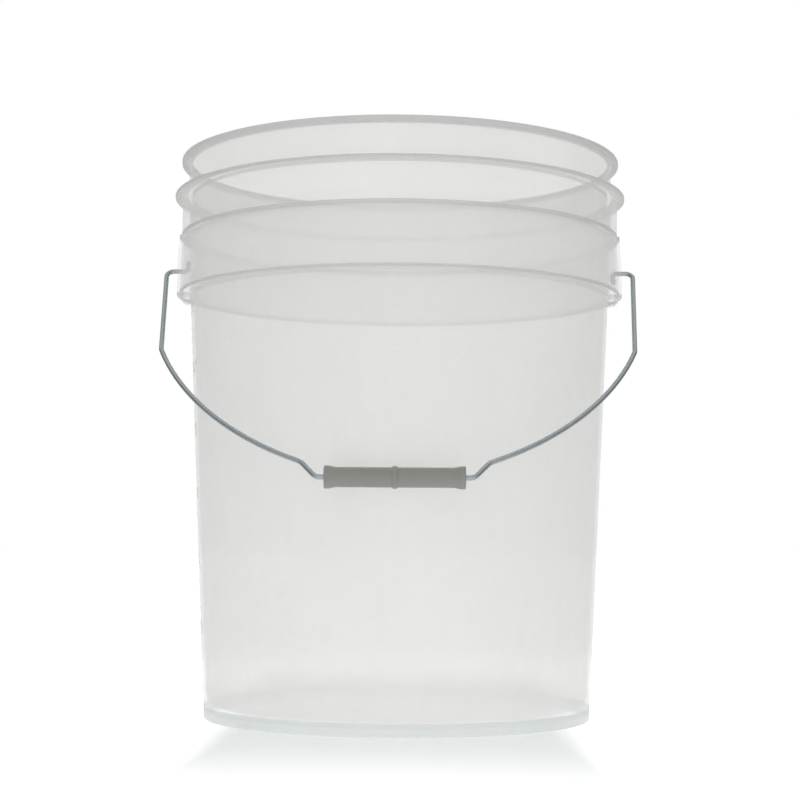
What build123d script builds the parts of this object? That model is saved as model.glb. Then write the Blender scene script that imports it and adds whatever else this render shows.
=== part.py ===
from build123d import *
import math
import os

# A fermenting bucket with a wire bail, in millimetres. The base stands on z = 0 and +Z is up.
# The ears that carry the bail are on +X and -X. The bail lies against the front wall, on -Y.

# Tapered wall. Radii are those of its outer surface.
total_height = 380.0
foot_radius = 130.6
lower_taper = 0.0464  # radius gained per mm of height, up to the change of taper
upper_taper = 0.0259  # the same, above it
taper_change_z = 286.0
wall_thickness = 2.1

# Base, raised off the floor by the foot ring
foot_thickness = 2.6
base_underside_z = 5.8
base_top_z = 8.4
base_corner_radius = 8.0
gate_radius = 4.0
gate_height = 1.2

# Rim that a press-on lid closes over
rim_radius = 151.0
rim_thickness = 3.7

# Flange below the rim
flange_radius = 155.2
flange_top_z = 354.9
flange_thickness = 2.3
flange_root_drop = 0.4

# Skirt that hangs from its web and stiffens the wall where the ears are
web_top_z = 328.0
web_thickness = 2.9
skirt_top_radius = 150.5
skirt_bottom_radius = 151.4
skirt_bottom_z = 286.2
skirt_thickness = 1.6
skirt_bead_height = 1.6  # the bead runs round the skirt's lower edge
skirt_bead_relief = 0.4
skirt_bead_edge_radius = 0.25

# Rounding of the moulding's corners
root_radius = 1.5
edge_radius = 0.7
rim_edge_radius = 1.2

# Ears: a flat plate that stands proud of the skirt, two side ribs and a pocket behind the plate
ear_half_width = 19.0
ear_face_x = 152.3
ear_top_x = 150.7
ear_bend_z = 304.0
ear_bottom_z = 283.6
ear_plate_thickness = 1.9
ear_rib_thickness = 2.0
ear_toe_radius = 2.8
ear_bend_radius = 40.0
ear_side_rounding = 1.4
ear_root_depth = 19.0  # the ears' outlines start this far inside the wall's surface
gusset_x = 149.0
pocket_wall_pad = 0.4  # the main wall is this much thicker inside the pocket

# Bail wire and its pivot, which runs along X
wire_radius = 1.6
pivot_z = 305.0
pivot_hole_radius = 2.0
pivot_drill_length = 7.6  # goes through the ear's plate and nothing else
hook_x = 147.6
hook_length = 11.0
hook_bend_radius = 3.0
arm_top_x = 161.9
arm_bend_radius = 5.0
arm_corner = (155.9, 85.5)  # x, then distance from the pivot in the plane of the bail
arm_corner_radius = 12.0
bow_radius = 190.9
bow_end = (57.8, 193.3)
bow_end_radius = 8.0
grip_bend_x = 48.2
grip_bend_radius = 5.0
grip_distance = 206.7

# Hand grip
grip_length = 86.0
grip_radius = 6.15
grip_end_radius = 7.0
grip_end_length = 3.0
grip_taper_length = 4.0
grip_ridge_radius = 6.9
grip_ridge_width = 3.0
grip_ridge_edge_radius = 0.35
grip_bore_radius = 1.9
grip_wall_gap = 0.3

# Volume scale moulded on the outside of the wall
cubic_mm_per_litre = 1.0e6
scale_step_litres = 0.5
scale_last_litres = 15.0
scale_steps_per_long_mark = 5
scale_start_azimuth = 190.0
long_mark_arc = 11.0
short_mark_arc = 4.0
mark_height = 0.8
mark_relief = 0.35
mark_sink = 0.5


def wall_radius(z):
    """Outer radius of the tapered wall at height z."""
    lower = foot_radius + lower_taper * min(z, taper_change_z)
    return lower + upper_taper * max(z - taper_change_z, 0.0)


def inner_radius(z):
    """Inner radius of the tapered wall at height z."""
    return wall_radius(z) - wall_thickness


def level_of(litres):
    """Height of the liquid's surface when the bucket holds this volume."""
    base_radius = inner_radius(base_top_z)
    cubed = base_radius**3 + 3 * lower_taper * litres * cubic_mm_per_litre / math.pi
    return base_top_z + (cubed ** (1 / 3) - base_radius) / lower_taper


def shell_of_revolution():
    """Wall, base, foot ring, skirt, flange and rim, as one turned profile."""
    web_bottom_z = web_top_z - web_thickness
    flange_bottom_z = flange_top_z - flange_thickness
    flange_root_z = flange_bottom_z - flange_root_drop
    rim_bottom_z = total_height - rim_thickness
    foot_inner = foot_radius - foot_thickness
    bead_radius = skirt_bottom_radius + skirt_bead_relief
    bead_top_z = skirt_bottom_z + skirt_bead_height
    corners = [
        ((foot_inner, base_underside_z), root_radius),
        ((foot_inner, 0), edge_radius),
        ((foot_radius, 0), edge_radius),
        ((wall_radius(taper_change_z), taper_change_z), 0),
        ((wall_radius(web_bottom_z), web_bottom_z), root_radius),
        ((skirt_top_radius - skirt_thickness, web_bottom_z), root_radius),
        ((skirt_bottom_radius - skirt_thickness, skirt_bottom_z), edge_radius),
        ((bead_radius, skirt_bottom_z), edge_radius),
        ((bead_radius, bead_top_z), skirt_bead_edge_radius),
        ((skirt_bottom_radius, bead_top_z + skirt_bead_relief), 0),
        ((skirt_top_radius, web_top_z), edge_radius),
        ((wall_radius(web_top_z), web_top_z), root_radius),
        ((wall_radius(flange_root_z), flange_root_z), root_radius),
        ((flange_radius, flange_bottom_z), edge_radius),
        ((flange_radius, flange_top_z), edge_radius),
        ((wall_radius(flange_top_z), flange_top_z), root_radius),
        ((wall_radius(rim_bottom_z), rim_bottom_z), root_radius),
        ((rim_radius, rim_bottom_z), edge_radius),
        ((rim_radius, total_height), rim_edge_radius),
        ((inner_radius(total_height), total_height), rim_edge_radius),
        ((inner_radius(taper_change_z), taper_change_z), 0),
        ((inner_radius(base_top_z), base_top_z), base_corner_radius),
    ]
    points, radii = zip(*corners)
    outline = FilletPolyline((0, base_underside_z), *points, (0, base_top_z), radius=radii)
    axis_line = Line(outline @ 1, outline @ 0)
    shell = revolve(Plane.XZ * make_face(outline.edges() + axis_line.edges()), Axis.Z)
    gate_middle_z = base_underside_z - gate_height / 2
    return shell + Pos(0, 0, gate_middle_z) * Cylinder(gate_radius, gate_height)


def solid_cone(offset):
    """The space inside the wall's outer surface, moved outwards by offset."""
    points = [
        (0, 0),
        (foot_radius + offset, 0),
        (wall_radius(taper_change_z) + offset, taper_change_z),
        (wall_radius(total_height) + offset, total_height),
        (0, total_height),
    ]
    return revolve(Plane.XZ * make_face(Polyline(*points, close=True)), Axis.Z)


def upright_slab(points, half_width):
    """A slab whose outline lies in the XZ plane, half_width thick to each side of it."""
    return extrude(Plane.XZ * make_face(Polyline(*points, close=True)), half_width, both=True)


def ear_root_x():
    """Where the outlines of the +X ear start, well inside the wall."""
    return wall_radius(ear_bottom_z) - ear_root_depth


def ear_block():
    """The +X ear before its pocket is hollowed out, with a rounded toe and rounded sides."""
    root_x = ear_root_x()
    outline = FilletPolyline(
        (root_x, ear_bottom_z),
        (ear_face_x, ear_bottom_z),
        (ear_face_x, ear_bend_z),
        (ear_top_x, web_top_z),
        (root_x, web_top_z),
        radius=[0, ear_toe_radius, ear_bend_radius, 0, 0],
        close=True,
    )
    block = extrude(Plane.XZ * make_face(outline), ear_half_width, both=True)
    sides = block.faces().filter_by(Axis.Y)
    rounded_edges = [edge for edge in sides.edges() if edge.center().X > root_x + ear_side_rounding]
    block = fillet(rounded_edges, ear_side_rounding)
    return block - solid_cone(-wall_thickness / 2)


def ear_hollow(plate_thickness, rib_thickness):
    """The space inside the +X ear, open at the bottom, if its plate and side ribs are this thick."""
    root_x = ear_root_x()
    web_bottom_z = web_top_z - web_thickness
    open_z = ear_bottom_z - ear_plate_thickness
    outline = [
        (root_x, open_z),
        (ear_face_x - plate_thickness, open_z),
        (ear_face_x - plate_thickness, ear_bend_z),
        (ear_top_x - plate_thickness, web_bottom_z),
        (root_x, web_bottom_z),
    ]
    hollow = upright_slab(outline, ear_half_width - rib_thickness)
    return hollow - solid_cone(pocket_wall_pad)


def ear_gussets():
    """Two upright ribs between the web and the flange above the +X ear."""
    root_x = ear_root_x()
    low_z = web_top_z - web_thickness / 2
    high_z = flange_top_z - flange_thickness / 2
    outline = [(root_x, low_z), (gusset_x, low_z), (gusset_x, high_z), (root_x, high_z)]
    pair = upright_slab(outline, ear_half_width)
    pair -= upright_slab(outline, ear_half_width - ear_rib_thickness)
    return pair - solid_cone(-wall_thickness / 2)


def scale_mark(litres, arc):
    """A low raised bar on the wall, at the level that this volume reaches."""
    low_z = level_of(litres) - mark_height / 2
    high_z = low_z + mark_height
    section = [
        (wall_radius(low_z) - mark_sink, low_z),
        (wall_radius(low_z) + mark_relief, low_z),
        (wall_radius(high_z) + mark_relief, high_z),
        (wall_radius(high_z) - mark_sink, high_z),
    ]
    bar = revolve(Plane.XZ * make_face(Polyline(*section, close=True)), Axis.Z, arc)
    return Rot(0, 0, scale_start_azimuth) * bar


def volume_scale():
    """Every mark of the scale: a long one each few steps, and short ones between."""
    marks = []
    for step in range(scale_steps_per_long_mark, round(scale_last_litres / scale_step_litres) + 1):
        arc = short_mark_arc if step % scale_steps_per_long_mark else long_mark_arc
        marks.append(scale_mark(step * scale_step_litres, arc))
    return marks


def make_bucket():
    """The whole one-piece moulding."""
    bucket = shell_of_revolution()
    drill = Cylinder(pivot_hole_radius, pivot_drill_length)
    pivot_hole = Pos(ear_face_x, 0, pivot_z) * Rot(0, 90, 0) * drill
    for turn in (0, 180):
        at_ear = Rot(0, 0, turn)
        bucket -= at_ear * ear_hollow(0, ear_rib_thickness / 2)
        bucket += at_ear * ear_block()
        bucket -= at_ear * ear_hollow(ear_plate_thickness, ear_rib_thickness)
        bucket += at_ear * ear_gussets()
        bucket -= at_ear * pivot_hole
    return bucket + volume_scale()


def rest_angle():
    """How far the bail hangs forward from straight down when the grip's ridge meets the wall."""
    wall_tilt = math.atan(lower_taper)
    wall_distance = (foot_radius + lower_taper * pivot_z) * math.cos(wall_tilt)
    return math.asin((wall_distance + grip_ridge_radius + grip_wall_gap) / grip_distance) - wall_tilt


def bail_plane():
    """The plane of the bail at rest: x along X, y from the pivot towards the grip."""
    angle = rest_angle()
    normal = (0, math.cos(angle), -math.sin(angle))
    return Plane(origin=(0, 0, pivot_z), x_dir=(1, 0, 0), z_dir=normal)


def bail_half(hook_side):
    """One half of the wire's centre line in the bail's plane, from the grip's middle to the hook's end.

    The hook points along the arm for hook_side 1 and away from it for -1."""
    grip_bend = (grip_bend_x, grip_distance)
    arm_top = (arm_top_x, 0)
    hook_bend = (hook_x, 0)
    with BuildLine() as half:
        Polyline((0, grip_distance), grip_bend, bow_end)
        RadiusArc(bow_end, arm_corner, bow_radius)
        Polyline(arm_corner, arm_top, hook_bend, (hook_x, hook_side * hook_length))
    path = half.wire()
    bends = [
        (grip_bend, grip_bend_radius),
        (bow_end, bow_end_radius),
        (arm_corner, arm_corner_radius),
        (arm_top, arm_bend_radius),
        (hook_bend, hook_bend_radius),
    ]
    for corner, radius in bends:
        path = fillet(path.vertices().sort_by_distance(corner)[0], radius)
    return path


def make_bail():
    """The wire, from the hook in the -X ear round through the grip to the hook in the +X ear."""
    left = mirror(bail_half(-1), Plane.YZ)
    right = bail_half(1)
    path = bail_plane() * Wire(left.edges() + right.edges())
    section = Plane(path @ 0, z_dir=path % 0) * Circle(wire_radius)
    return sweep(section, path)


def make_grip():
    """The moulded grip: a tube with flared ends and a ridge round its middle."""
    end_x = grip_length / 2
    taper_start = end_x - grip_end_length
    taper_end = taper_start - grip_taper_length
    ridge_x = grip_ridge_width / 2
    half_outline = [
        ((end_x, grip_bore_radius), edge_radius),
        ((end_x, grip_end_radius), edge_radius),
        ((taper_start, grip_end_radius), edge_radius),
        ((taper_end, grip_radius), edge_radius),
        ((ridge_x, grip_radius), grip_ridge_edge_radius),
        ((ridge_x, grip_ridge_radius), grip_ridge_edge_radius),
    ]
    other_half = [((-point[0], point[1]), radius) for point, radius in reversed(half_outline)]
    points, radii = zip(*half_outline, *other_half)
    outline = FilletPolyline(*points, radius=radii, close=True)
    tube = revolve(Plane.XZ * make_face(outline), Axis.X)
    return Pos(bail_plane().from_local_coords((0, grip_distance, 0))) * tube


os.makedirs("parts", exist_ok=True)
for node, shape in [("bucket", make_bucket()), ("bail", make_bail()), ("grip", make_grip())]:
    export_step(shape, f"parts/{node}.step")
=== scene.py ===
import math

import bmesh
import bpy
from mathutils import Matrix, Vector


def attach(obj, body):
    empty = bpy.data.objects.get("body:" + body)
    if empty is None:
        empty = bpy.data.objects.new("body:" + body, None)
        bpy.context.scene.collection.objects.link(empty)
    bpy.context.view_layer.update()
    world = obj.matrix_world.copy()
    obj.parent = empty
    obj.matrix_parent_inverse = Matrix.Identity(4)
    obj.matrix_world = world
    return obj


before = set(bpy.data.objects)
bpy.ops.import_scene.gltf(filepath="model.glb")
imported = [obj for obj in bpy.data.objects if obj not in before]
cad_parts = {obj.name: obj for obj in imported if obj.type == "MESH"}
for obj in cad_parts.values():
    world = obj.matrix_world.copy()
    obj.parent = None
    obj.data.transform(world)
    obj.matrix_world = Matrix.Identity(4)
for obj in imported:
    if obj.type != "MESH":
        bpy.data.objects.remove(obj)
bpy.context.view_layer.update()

scene = bpy.context.scene

# The camera stands in front of the bucket, at about a third of its height, and looks up slightly.
CAMERA_DISTANCE = 1.194
CAMERA_HEIGHT = 0.1225
CAMERA_OFFSET = 0.001
CAMERA_AZIMUTH = math.radians(0.7)
CAMERA_PITCH = math.radians(4.49)
CAMERA_ROLL = math.radians(0.4)
CAMERA_LENS = 77.94
SENSOR_WIDTH = 36.0

# The bucket's heights and radii, in metres. Unless named inner, radii are those of its outer surface.
FOOT_RADIUS = 0.1306
WALL_TAPER = 0.0464  # radius gained per height
WALL_THICKNESS = 0.0021
FOOT_INNER_RADIUS = 0.1280
BASE_UNDERSIDE_Z = 0.0058
BASE_TOP_Z = 0.0084
BEAD_BOTTOM_Z = 0.2862
BEAD_TOP_Z = 0.2878
BEAD_INNER_RADIUS = 0.1475
# Painted shade on the wall just under the skirt's lower edge lies between these heights.
SKIRT_SHADE_HEIGHTS = (0.2848, 0.2880)
# Painted shade fades out of the wall between these heights above the base.
LOWER_SHADE_HEIGHTS = (0.010, 0.040)
FOOT_FADE_Z = 0.0124
WEB_BOTTOM_Z = 0.3251
WEB_TOP_Z = 0.3280
FLANGE_BOTTOM_Z = 0.3526
FLANGE_TOP_Z = 0.3549
RIM_BOTTOM_Z = 0.3763
RIM_TOP_Z = 0.3800
EAR_HALF_WIDTH = (0.0200, 0.0400)
EAR_HEIGHTS = (0.2830, 0.3245)
EAR_DEPTH = (0.1445, 0.1455)

# How soft the edges of those places are
RING_SOFTNESS = 0.0003
# The next softness serves the base ring and the painted shade under the skirt.
BASE_AND_SKIRT_SHADE_SOFTNESS = 0.0006
EAR_SOFTNESS = 0.001

# How dense the moulding looks at each of these places, where 1 is a solid ring seen edge on. The band
# under the skirt's edge, the fade towards the base and the band above the web are painted shade.
WEB_DENSITY = 1.0
FLANGE_DENSITY = 1.0
RIM_DENSITY = 0.95
SKIRT_SHADE_STRENGTH = 0.5
LOWER_SHADE_STRENGTH = 0.22
UPPER_SHADE_STRENGTH = 0.12
FOOT_DENSITY = 0.7

# The share of light that passes straight through one surface of the moulding
OPEN_SHARE = (0.60, 0.64)
SCUFF_OPEN_LOSS = -0.05
EAR_OPEN_SHARE = 0.84
# At thick moulding and at painted shade, the see-through share is cut by this factor.
DENSE_AND_SHADE_OPEN_FACTOR = 0.30
MILKY_GLOW_SHARE = 0.45

# Colours of the moulding, the wire and the grip, each varying between two where a pair is given
CLEAR_COLOURS = ((0.970, 0.966, 0.956), (0.988, 0.984, 0.975))
# The grey of thick moulding, also used for painted shade on the wall.
DENSE_AND_SHADE_COLOUR = (0.795, 0.79, 0.785)
FOOT_COLOUR = (0.83, 0.885, 0.88)
FOOT_COLOUR_SHARE = 0.6
ZINC_COLOURS = ((0.36, 0.40, 0.415), (0.43, 0.475, 0.49))
RUBBED_ZINC_COLOUR = (0.48, 0.51, 0.52)
GRIP_COLOURS = ((0.30, 0.30, 0.272), (0.36, 0.355, 0.327))
HANDLED_COLOUR = (0.46, 0.46, 0.43)
GRIP_GLOW_COLOUR = (0.75, 0.76, 0.73)
GRIP_GLOW_SHARE = 0.28
PLASTIC_IOR = 1.49

# The numerals above the long marks of the volume scale
CUBIC_METRES_PER_LITRE = 0.001
NUMERAL_STEP_LITRES = 2.5
NUMERAL_COUNT = 6
SCALE_START_AZIMUTH = math.radians(190.6)
NUMERAL_HEIGHT = 0.0080
NUMERAL_GAP = 0.0016
NUMERAL_RELIEF = 0.00035
NUMERAL_SINK = 0.00015
DIGIT_HEIGHT_SHARE = 0.72  # of the font's nominal size
OUTLINE_STEPS = 5
MERGE_DISTANCE = 1e-6

# How bright the studio is in each direction
STUDIO_BACK = 0.93
STUDIO_FRONT = 1.2
STUDIO_TOP = 1.02
STUDIO_SIDE_SHARE = 0.32
STUDIO_DEPTH_REACH = 0.8
STUDIO_TOP_REACH = (0.35, 0.95)
STUDIO_SIDE_REACH = (0.25, 0.85)

# The floor is a sheet that glows, less far away, and with painted shade in a strip under the bucket
# that runs to the front and back. FLOOR_LIGHT is the light that it throws on the bucket, which
# falls off to each side.
FLOOR_SIZE = 20
FLOOR_COLOUR = (0.70, 0.72, 0.72)
FLOOR_GLOW = 0.80
SHADE_GLOW = 0.24
FLOOR_GLOW_FAR = 0.48
FLOOR_GLOW_REACH = (0.30, 0.80)
FLOOR_LIGHT = 0.54
FLOOR_LIGHT_BESIDE = 0.20
FLOOR_LIGHT_HALF_WIDTH = (0.12, 0.45)
SHADE_HALF_WIDTH = (0.095, 0.135)
SHADE_DEPTH = (0.12, 0.55)


class Shader:
    """A material's node tree, with short calls for the nodes used here."""

    def __init__(self, name):
        self.material = bpy.data.materials.new(name)
        self.material.use_nodes = True
        self.nodes = self.material.node_tree.nodes
        self.links = self.material.node_tree.links
        self.nodes.clear()
        self.place = self.add("ShaderNodeTexCoord").outputs["Object"]

    def add(self, kind, settings=None, **inputs):
        """A node. settings are its properties, and each input is a value or another node's output."""
        node = self.nodes.new(kind)
        for name, value in (settings or {}).items():
            setattr(node, name, value)
        for name, value in inputs.items():
            self.feed(node.inputs[name.replace("_", " ")], value)
        return node

    def feed(self, socket, value):
        if isinstance(value, bpy.types.NodeSocket):
            self.links.new(value, socket)
        else:
            socket.default_value = value

    def math(self, operation, *values):
        node = self.add("ShaderNodeMath", {"operation": operation})
        for socket, value in zip(node.inputs, values):
            self.feed(socket, value)
        return node.outputs[0]

    def spread(self, value, low, high, new_low=0.0, new_high=1.0):
        """value's range from low to high, mapped smoothly to new_low and new_high."""
        node = self.add("ShaderNodeMapRange", {"interpolation_type": "SMOOTHSTEP"})
        for name, number in (
            ("Value", value),
            ("From Min", low),
            ("From Max", high),
            ("To Min", new_low),
            ("To Max", new_high),
        ):
            self.feed(node.inputs[name], number)
        return node.outputs["Result"]

    def band(self, value, low, high, soft):
        """1 where value is between low and high, 0 elsewhere, with soft edges."""
        above = self.spread(value, low - soft, low)
        below = self.spread(value, high, high + soft, 1.0, 0.0)
        return self.math("MULTIPLY", above, below)

    def noise(self, size, detail=3.0, roughness=0.55, stretch=(1.0, 1.0, 1.0)):
        """Noise whose features are about size metres, stretched along each axis."""
        mapping = self.add("ShaderNodeMapping", Vector=self.place)
        mapping.inputs["Scale"].default_value = [1.0 / (size * factor) for factor in stretch]
        node = self.add("ShaderNodeTexNoise", Vector=mapping.outputs[0], Detail=detail, Roughness=roughness)
        node.inputs["Scale"].default_value = 1.0
        return node.outputs["Fac"]

    def blend(self, factor, first, second):
        """Colour first where factor is 0 and second where it is 1."""
        node = self.add("ShaderNodeMix", {"data_type": "RGBA"})
        self.feed(node.inputs[0], factor)
        self.feed(node.inputs[6], first)
        self.feed(node.inputs[7], second)
        return node.outputs[2]

    def bump(self, height, distance, strength=1.0, normal=None):
        node = self.add("ShaderNodeBump", Height=height, Distance=distance, Strength=strength)
        if normal is not None:
            self.feed(node.inputs["Normal"], normal)
        return node.outputs[0]

    def mix(self, factor, first, second):
        """Shader first where factor is 0 and second where it is 1."""
        node = self.add("ShaderNodeMixShader")
        for socket, value in zip(node.inputs, (factor, first, second)):
            self.feed(socket, value)
        return node.outputs[0]

    def finish(self, surface):
        output = self.add("ShaderNodeOutputMaterial", Surface=surface)
        output.is_active_output = True
        return self.material


def rgba(red, green, blue):
    return (red, green, blue, 1.0)


def natural_plastic():
    """Milky see-through polypropylene, denser and greyer where the moulding is thick, with painted shade in
    bands under the skirt's edge, towards the base and above the web.
    """
    s = Shader("natural_plastic")
    axes = s.add("ShaderNodeSeparateXYZ", Vector=s.place).outputs
    z = axes["Z"]
    across = s.add("ShaderNodeCombineXYZ", X=axes["X"], Y=axes["Y"]).outputs[0]
    radius = s.add("ShaderNodeVectorMath", {"operation": "LENGTH"}, Vector=across).outputs["Value"]
    on_foot = s.spread(radius, FOOT_INNER_RADIUS - 0.003, FOOT_INNER_RADIUS)
    dense_and_shade = s.math("MULTIPLY", s.band(z, BASE_UNDERSIDE_Z, BASE_TOP_Z, BASE_AND_SKIRT_SHADE_SOFTNESS), on_foot)
    for low, high, share in (
        (WEB_BOTTOM_Z, WEB_TOP_Z, WEB_DENSITY),
        (FLANGE_BOTTOM_Z, FLANGE_TOP_Z, FLANGE_DENSITY),
        (RIM_BOTTOM_Z, RIM_TOP_Z, RIM_DENSITY),
    ):
        dense_and_shade = s.math("MAXIMUM", dense_and_shade, s.math("MULTIPLY", s.band(z, low, high, RING_SOFTNESS), share))
    on_skirt = s.spread(radius, BEAD_INNER_RADIUS, BEAD_INNER_RADIUS + 0.001)
    bead = s.math("MULTIPLY", on_skirt, s.band(z, BEAD_BOTTOM_Z, BEAD_TOP_Z, RING_SOFTNESS))
    # Painted shade: a band on the wall just under the skirt's lower edge, where the skirt shades it.
    step = s.math("MULTIPLY", s.band(z, *SKIRT_SHADE_HEIGHTS, BASE_AND_SKIRT_SHADE_SOFTNESS), SKIRT_SHADE_STRENGTH)
    dense_and_shade = s.math("MAXIMUM", dense_and_shade, s.math("MAXIMUM", bead, step))
    # Painted shade: the wall grows greyer and less see-through towards the base.
    lower_shade = s.spread(z, *LOWER_SHADE_HEIGHTS, LOWER_SHADE_STRENGTH, 0.0)
    # Painted shade: the wall above the web is greyer and less see-through.
    upper_shade = s.spread(z, WEB_TOP_Z, WEB_TOP_Z + 0.002, 0.0, UPPER_SHADE_STRENGTH)
    dense_and_shade = s.math("MAXIMUM", dense_and_shade, s.math("MAXIMUM", lower_shade, upper_shade))
    foot = s.math("MULTIPLY", s.spread(z, BASE_UNDERSIDE_Z, FOOT_FADE_Z, 1.0, 0.0), on_foot)
    dense_foot_and_shade = s.math("MAXIMUM", dense_and_shade, s.math("MULTIPLY", foot, FOOT_DENSITY))
    near_ear = s.spread(s.math("ABSOLUTE", axes["Y"]), *EAR_HALF_WIDTH, 1.0, 0.0)
    ear = s.math("MULTIPLY", near_ear, s.band(z, *EAR_HEIGHTS, EAR_SOFTNESS))
    ear = s.math("MULTIPLY", ear, s.spread(radius, *EAR_DEPTH))

    cloud = s.noise(0.045, detail=4.0, stretch=(1.0, 1.0, 1.8))
    streak = s.noise(0.006, detail=4.0, roughness=0.6, stretch=(1.0, 1.0, 14.0))
    scuff = s.spread(s.noise(0.0022, detail=5.0, roughness=0.7, stretch=(3.0, 3.0, 0.5)), 0.62, 0.74)
    grain = s.noise(0.0005, detail=2.0)

    clear = s.blend(cloud, *[rgba(*colour) for colour in CLEAR_COLOURS])
    body = s.blend(dense_and_shade, clear, rgba(*DENSE_AND_SHADE_COLOUR))
    colour = s.blend(s.math("MULTIPLY", foot, FOOT_COLOUR_SHARE), body, rgba(*FOOT_COLOUR))
    roughness = s.math("ADD", s.spread(streak, 0.3, 0.7, 0.30, 0.42), s.math("MULTIPLY", scuff, 0.14))
    waves = s.bump(s.noise(0.035, detail=1.0), 0.0005, 0.6)
    drawn = s.bump(streak, 0.00008, 0.5, waves)
    normal = s.bump(s.math("ADD", grain, s.math("MULTIPLY", scuff, 0.6)), 0.00003, 0.6, drawn)

    plastic = s.add("ShaderNodeBsdfPrincipled", Roughness=roughness, Normal=normal, IOR=PLASTIC_IOR)
    s.feed(plastic.inputs["Base Color"], colour)
    glow = s.add("ShaderNodeBsdfTranslucent", Color=colour, Normal=normal)
    milky = s.mix(MILKY_GLOW_SHARE, plastic.outputs[0], glow.outputs[0])
    scuff_loss = s.math("MULTIPLY", scuff, SCUFF_OPEN_LOSS)
    open_share = s.math("ADD", s.spread(cloud, 0.3, 0.7, *OPEN_SHARE), scuff_loss)
    through_ear = s.add("ShaderNodeMix", Factor=ear, A=open_share, B=EAR_OPEN_SHARE).outputs[0]
    see_through = s.math("MULTIPLY", through_ear, s.spread(dense_foot_and_shade, 0.0, 1.0, 1.0, DENSE_AND_SHADE_OPEN_FACTOR))
    clear_part = s.add("ShaderNodeBsdfTransparent").outputs[0]
    return s.finish(s.mix(see_through, milky, clear_part))


def zinc_wire():
    """Drawn steel wire with bright zinc plating, dulled unevenly and rubbed in places."""
    s = Shader("zinc_wire")
    cloud = s.noise(0.012, detail=4.0, roughness=0.6)
    fine = s.noise(0.0007, detail=4.0, roughness=0.65)
    drawn = s.noise(0.00035, detail=2.0, stretch=(18.0, 1.0, 1.0))
    rubbed = s.spread(s.noise(0.02, detail=2.0), 0.55, 0.72)
    tone = s.blend(cloud, *[rgba(*colour) for colour in ZINC_COLOURS])
    colour = s.blend(s.math("MULTIPLY", rubbed, 0.5), tone, rgba(*RUBBED_ZINC_COLOUR))
    dulling = s.math("ADD", s.math("MULTIPLY", cloud, 0.6), s.math("MULTIPLY", fine, 0.4))
    roughness = s.spread(dulling, 0.3, 0.7, 0.20, 0.38)
    normal = s.bump(drawn, 0.00003, 0.5, s.bump(fine, 0.00004, 0.5))
    steel = s.add("ShaderNodeBsdfPrincipled", Roughness=roughness, Normal=normal, Metallic=1.0)
    s.feed(steel.inputs["Base Color"], colour)
    return s.finish(steel.outputs[0])


def grip_plastic():
    """Grey polyethylene with a slight gloss and faint handling marks."""
    s = Shader("grip_plastic")
    cloud = s.noise(0.014, detail=4.0)
    handled = s.spread(s.noise(0.0016, detail=5.0, roughness=0.7, stretch=(4.0, 1.0, 1.0)), 0.58, 0.74)
    grain = s.noise(0.0004, detail=2.0)
    tone = s.blend(cloud, *[rgba(*colour) for colour in GRIP_COLOURS])
    colour = s.blend(s.math("MULTIPLY", handled, 0.35), tone, rgba(*HANDLED_COLOUR))
    roughness = s.math("ADD", s.spread(cloud, 0.3, 0.7, 0.36, 0.48), s.math("MULTIPLY", handled, 0.12))
    normal = s.bump(s.math("ADD", grain, s.math("MULTIPLY", handled, 0.8)), 0.00004, 0.6)
    plastic = s.add("ShaderNodeBsdfPrincipled", Roughness=roughness, Normal=normal, IOR=PLASTIC_IOR)
    s.feed(plastic.inputs["Base Color"], colour)
    plastic.inputs["Subsurface Weight"].default_value = 0.15
    plastic.inputs["Subsurface Radius"].default_value = (0.002, 0.002, 0.0018)
    plastic.inputs["Coat Weight"].default_value = 0.9
    plastic.inputs["Coat Roughness"].default_value = 0.22
    glow = s.add("ShaderNodeBsdfTranslucent", Color=rgba(*GRIP_GLOW_COLOUR), Normal=normal)
    return s.finish(s.mix(GRIP_GLOW_SHARE, plastic.outputs[0], glow.outputs[0]))


def dress(node, material):
    """Gives a CAD node this material in every slot."""
    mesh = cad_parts[node].data
    mesh.materials.clear()
    mesh.materials.append(material)


def wall_radius(z):
    return FOOT_RADIUS + WALL_TAPER * z


def level_of(litres):
    """Height of the liquid's surface when the bucket holds this volume."""
    base_radius = wall_radius(BASE_TOP_Z) - WALL_THICKNESS
    cubed = base_radius**3 + 3 * WALL_TAPER * litres * CUBIC_METRES_PER_LITRE / math.pi
    return BASE_TOP_Z + (cubed ** (1 / 3) - base_radius) / WALL_TAPER


def add_numeral(litres, material):
    """A numeral raised on the wall just above its mark, curved to the wall."""
    text = f"{litres:g}"
    curve = bpy.data.curves.new(f"numeral_{text}", "FONT")
    curve.body = text
    curve.size = NUMERAL_HEIGHT / DIGIT_HEIGHT_SHARE
    curve.extrude = (NUMERAL_RELIEF + NUMERAL_SINK) / 2
    curve.resolution_u = OUTLINE_STEPS
    lettering = bpy.data.objects.new(f"numeral_{text}_outline", curve)
    scene.collection.objects.link(lettering)
    bpy.context.view_layer.update()
    mesh = bpy.data.meshes.new_from_object(lettering.evaluated_get(bpy.context.evaluated_depsgraph_get()))
    bpy.data.objects.remove(lettering)
    form = bmesh.new()
    form.from_mesh(mesh)
    bmesh.ops.remove_doubles(form, verts=form.verts, dist=MERGE_DISTANCE)
    base_z = level_of(litres) + NUMERAL_GAP
    for vertex in form.verts:
        z = base_z + vertex.co.y
        reach = wall_radius(z) + vertex.co.z + (NUMERAL_RELIEF - NUMERAL_SINK) / 2
        azimuth = SCALE_START_AZIMUTH + vertex.co.x / wall_radius(z)
        vertex.co = (reach * math.cos(azimuth), reach * math.sin(azimuth), z)
    form.to_mesh(mesh)
    form.free()
    mesh.materials.clear()
    mesh.materials.append(material)
    piece = bpy.data.objects.new("numeral_" + text.replace(".", "_"), mesh)
    scene.collection.objects.link(piece)
    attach(piece, "bucket")


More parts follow.
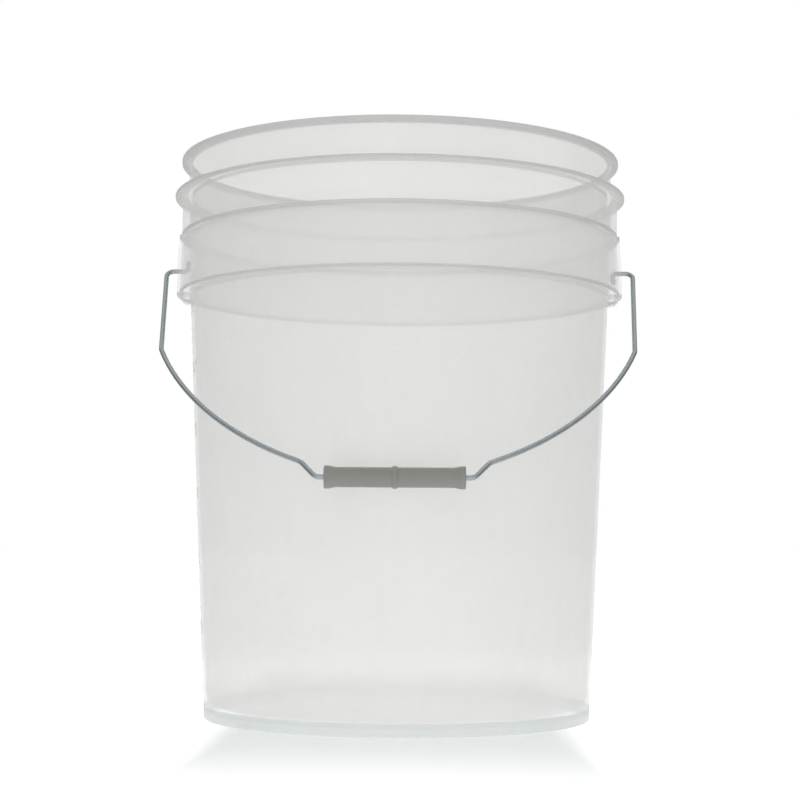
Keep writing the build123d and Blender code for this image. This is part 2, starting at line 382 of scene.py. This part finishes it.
def add_camera():
    """The camera, at the photograph's viewing angle."""
    data = bpy.data.cameras.new("camera")
    data.sensor_width = SENSOR_WIDTH
    data.lens = CAMERA_LENS
    camera = bpy.data.objects.new("camera", data)
    scene.collection.objects.link(camera)
    turn = Matrix.Rotation(CAMERA_AZIMUTH, 4, "Z")
    tilt = Matrix.Rotation(math.pi / 2 + CAMERA_PITCH, 4, "X")
    roll = Matrix.Rotation(CAMERA_ROLL, 4, "Z")
    place = Matrix.Translation(turn @ Vector((CAMERA_OFFSET, -CAMERA_DISTANCE, CAMERA_HEIGHT)))
    camera.matrix_world = place @ turn @ tilt @ roll
    scene.camera = camera


def set_range(node, source, target):
    """Maps the source range to the target range in a map range node."""
    for end, (low_name, high_name) in ((source, ("From Min", "From Max")), (target, ("To Min", "To Max"))):
        node.inputs[low_name].default_value, node.inputs[high_name].default_value = end


def add_world():
    """A studio that is brightest in front and dim to the sides. The camera sees it as plain white."""
    world = bpy.data.worlds.new("studio")
    scene.world = world
    world.use_nodes = True
    nodes = world.node_tree.nodes
    links = world.node_tree.links
    nodes.clear()
    direction = nodes.new("ShaderNodeTexCoord").outputs["Generated"]
    axes = nodes.new("ShaderNodeSeparateXYZ")
    links.new(direction, axes.inputs[0])
    depth = nodes.new("ShaderNodeMapRange")
    links.new(axes.outputs["Y"], depth.inputs["Value"])
    set_range(depth, (-STUDIO_DEPTH_REACH, STUDIO_DEPTH_REACH), (STUDIO_FRONT, STUDIO_BACK))
    overhead = nodes.new("ShaderNodeMapRange")
    links.new(axes.outputs["Z"], overhead.inputs["Value"])
    set_range(overhead, STUDIO_TOP_REACH, (0.0, 1.0))
    across = nodes.new("ShaderNodeMath")
    across.operation = "ABSOLUTE"
    links.new(axes.outputs["X"], across.inputs[0])
    side = nodes.new("ShaderNodeMapRange")
    side.interpolation_type = "SMOOTHSTEP"
    links.new(across.outputs[0], side.inputs["Value"])
    set_range(side, STUDIO_SIDE_REACH, (1.0, STUDIO_SIDE_SHARE))
    around = nodes.new("ShaderNodeMath")
    around.operation = "MULTIPLY"
    links.new(depth.outputs["Result"], around.inputs[0])
    links.new(side.outputs["Result"], around.inputs[1])
    level = nodes.new("ShaderNodeMix")
    links.new(overhead.outputs["Result"], level.inputs[0])
    links.new(around.outputs[0], level.inputs[2])
    level.inputs[3].default_value = STUDIO_TOP
    studio = nodes.new("ShaderNodeBackground")
    links.new(level.outputs[0], studio.inputs["Strength"])
    backdrop = nodes.new("ShaderNodeBackground")
    backdrop.inputs["Color"].default_value = rgba(1.0, 1.0, 1.0)
    seen = nodes.new("ShaderNodeLightPath")
    choice = nodes.new("ShaderNodeMixShader")
    links.new(seen.outputs["Is Camera Ray"], choice.inputs[0])
    links.new(studio.outputs[0], choice.inputs[1])
    links.new(backdrop.outputs[0], choice.inputs[2])
    output = nodes.new("ShaderNodeOutputWorld")
    links.new(choice.outputs[0], output.inputs[0])


def add_floor():
    """A white sheet that glows a little, so that it meets the white backdrop without an edge."""
    s = Shader("white_sheet")
    sheet = s.add("ShaderNodeBsdfPrincipled", Roughness=0.28, IOR=1.4)
    sheet.inputs["Base Color"].default_value = rgba(*FLOOR_COLOUR)
    sheet.inputs["Emission Color"].default_value = rgba(1.0, 1.0, 1.0)
    distance = s.add("ShaderNodeVectorMath", {"operation": "LENGTH"}, Vector=s.place).outputs["Value"]
    axes = s.add("ShaderNodeSeparateXYZ", Vector=s.place).outputs
    # Painted shade: the glow seen by the camera is dimmer in a strip under the bucket, along Y.
    beside = s.spread(s.math("ABSOLUTE", axes["X"]), *SHADE_HALF_WIDTH, SHADE_GLOW, FLOOR_GLOW)
    before = s.spread(s.math("ABSOLUTE", axes["Y"]), *SHADE_DEPTH, SHADE_GLOW, FLOOR_GLOW)
    level = s.spread(distance, *FLOOR_GLOW_REACH, FLOOR_GLOW, FLOOR_GLOW_FAR)
    looks = s.math("MINIMUM", level, s.math("MAXIMUM", beside, before))
    lights = s.spread(s.math("ABSOLUTE", axes["X"]), *FLOOR_LIGHT_HALF_WIDTH, FLOOR_LIGHT, FLOOR_LIGHT_BESIDE)
    seen = s.add("ShaderNodeLightPath").outputs["Is Camera Ray"]
    glow = s.add("ShaderNodeMix", Factor=seen, A=lights, B=looks).outputs[0]
    s.feed(sheet.inputs["Emission Strength"], glow)
    bpy.ops.mesh.primitive_plane_add(size=FLOOR_SIZE)
    floor = bpy.context.object
    floor.name = "floor"
    floor.data.materials.append(s.finish(sheet.outputs[0]))


add_camera()
add_world()
add_floor()

bucket_plastic = natural_plastic()
dress("bucket", bucket_plastic)
dress("bail", zinc_wire())
dress("grip", grip_plastic())
for step in range(1, NUMERAL_COUNT + 1):
    add_numeral(step * NUMERAL_STEP_LITRES, bucket_plastic)

# Rays cross up to a dozen see-through walls, which is more than the default allows.
scene.cycles.transparent_max_bounces = 48
# Light that has entered the bucket bounces between its pale walls many times.
scene.cycles.max_bounces = 24
scene.cycles.diffuse_bounces = 10
scene.cycles.transmission_bounces = 24
scene.view_settings.view_transform = "Standard"
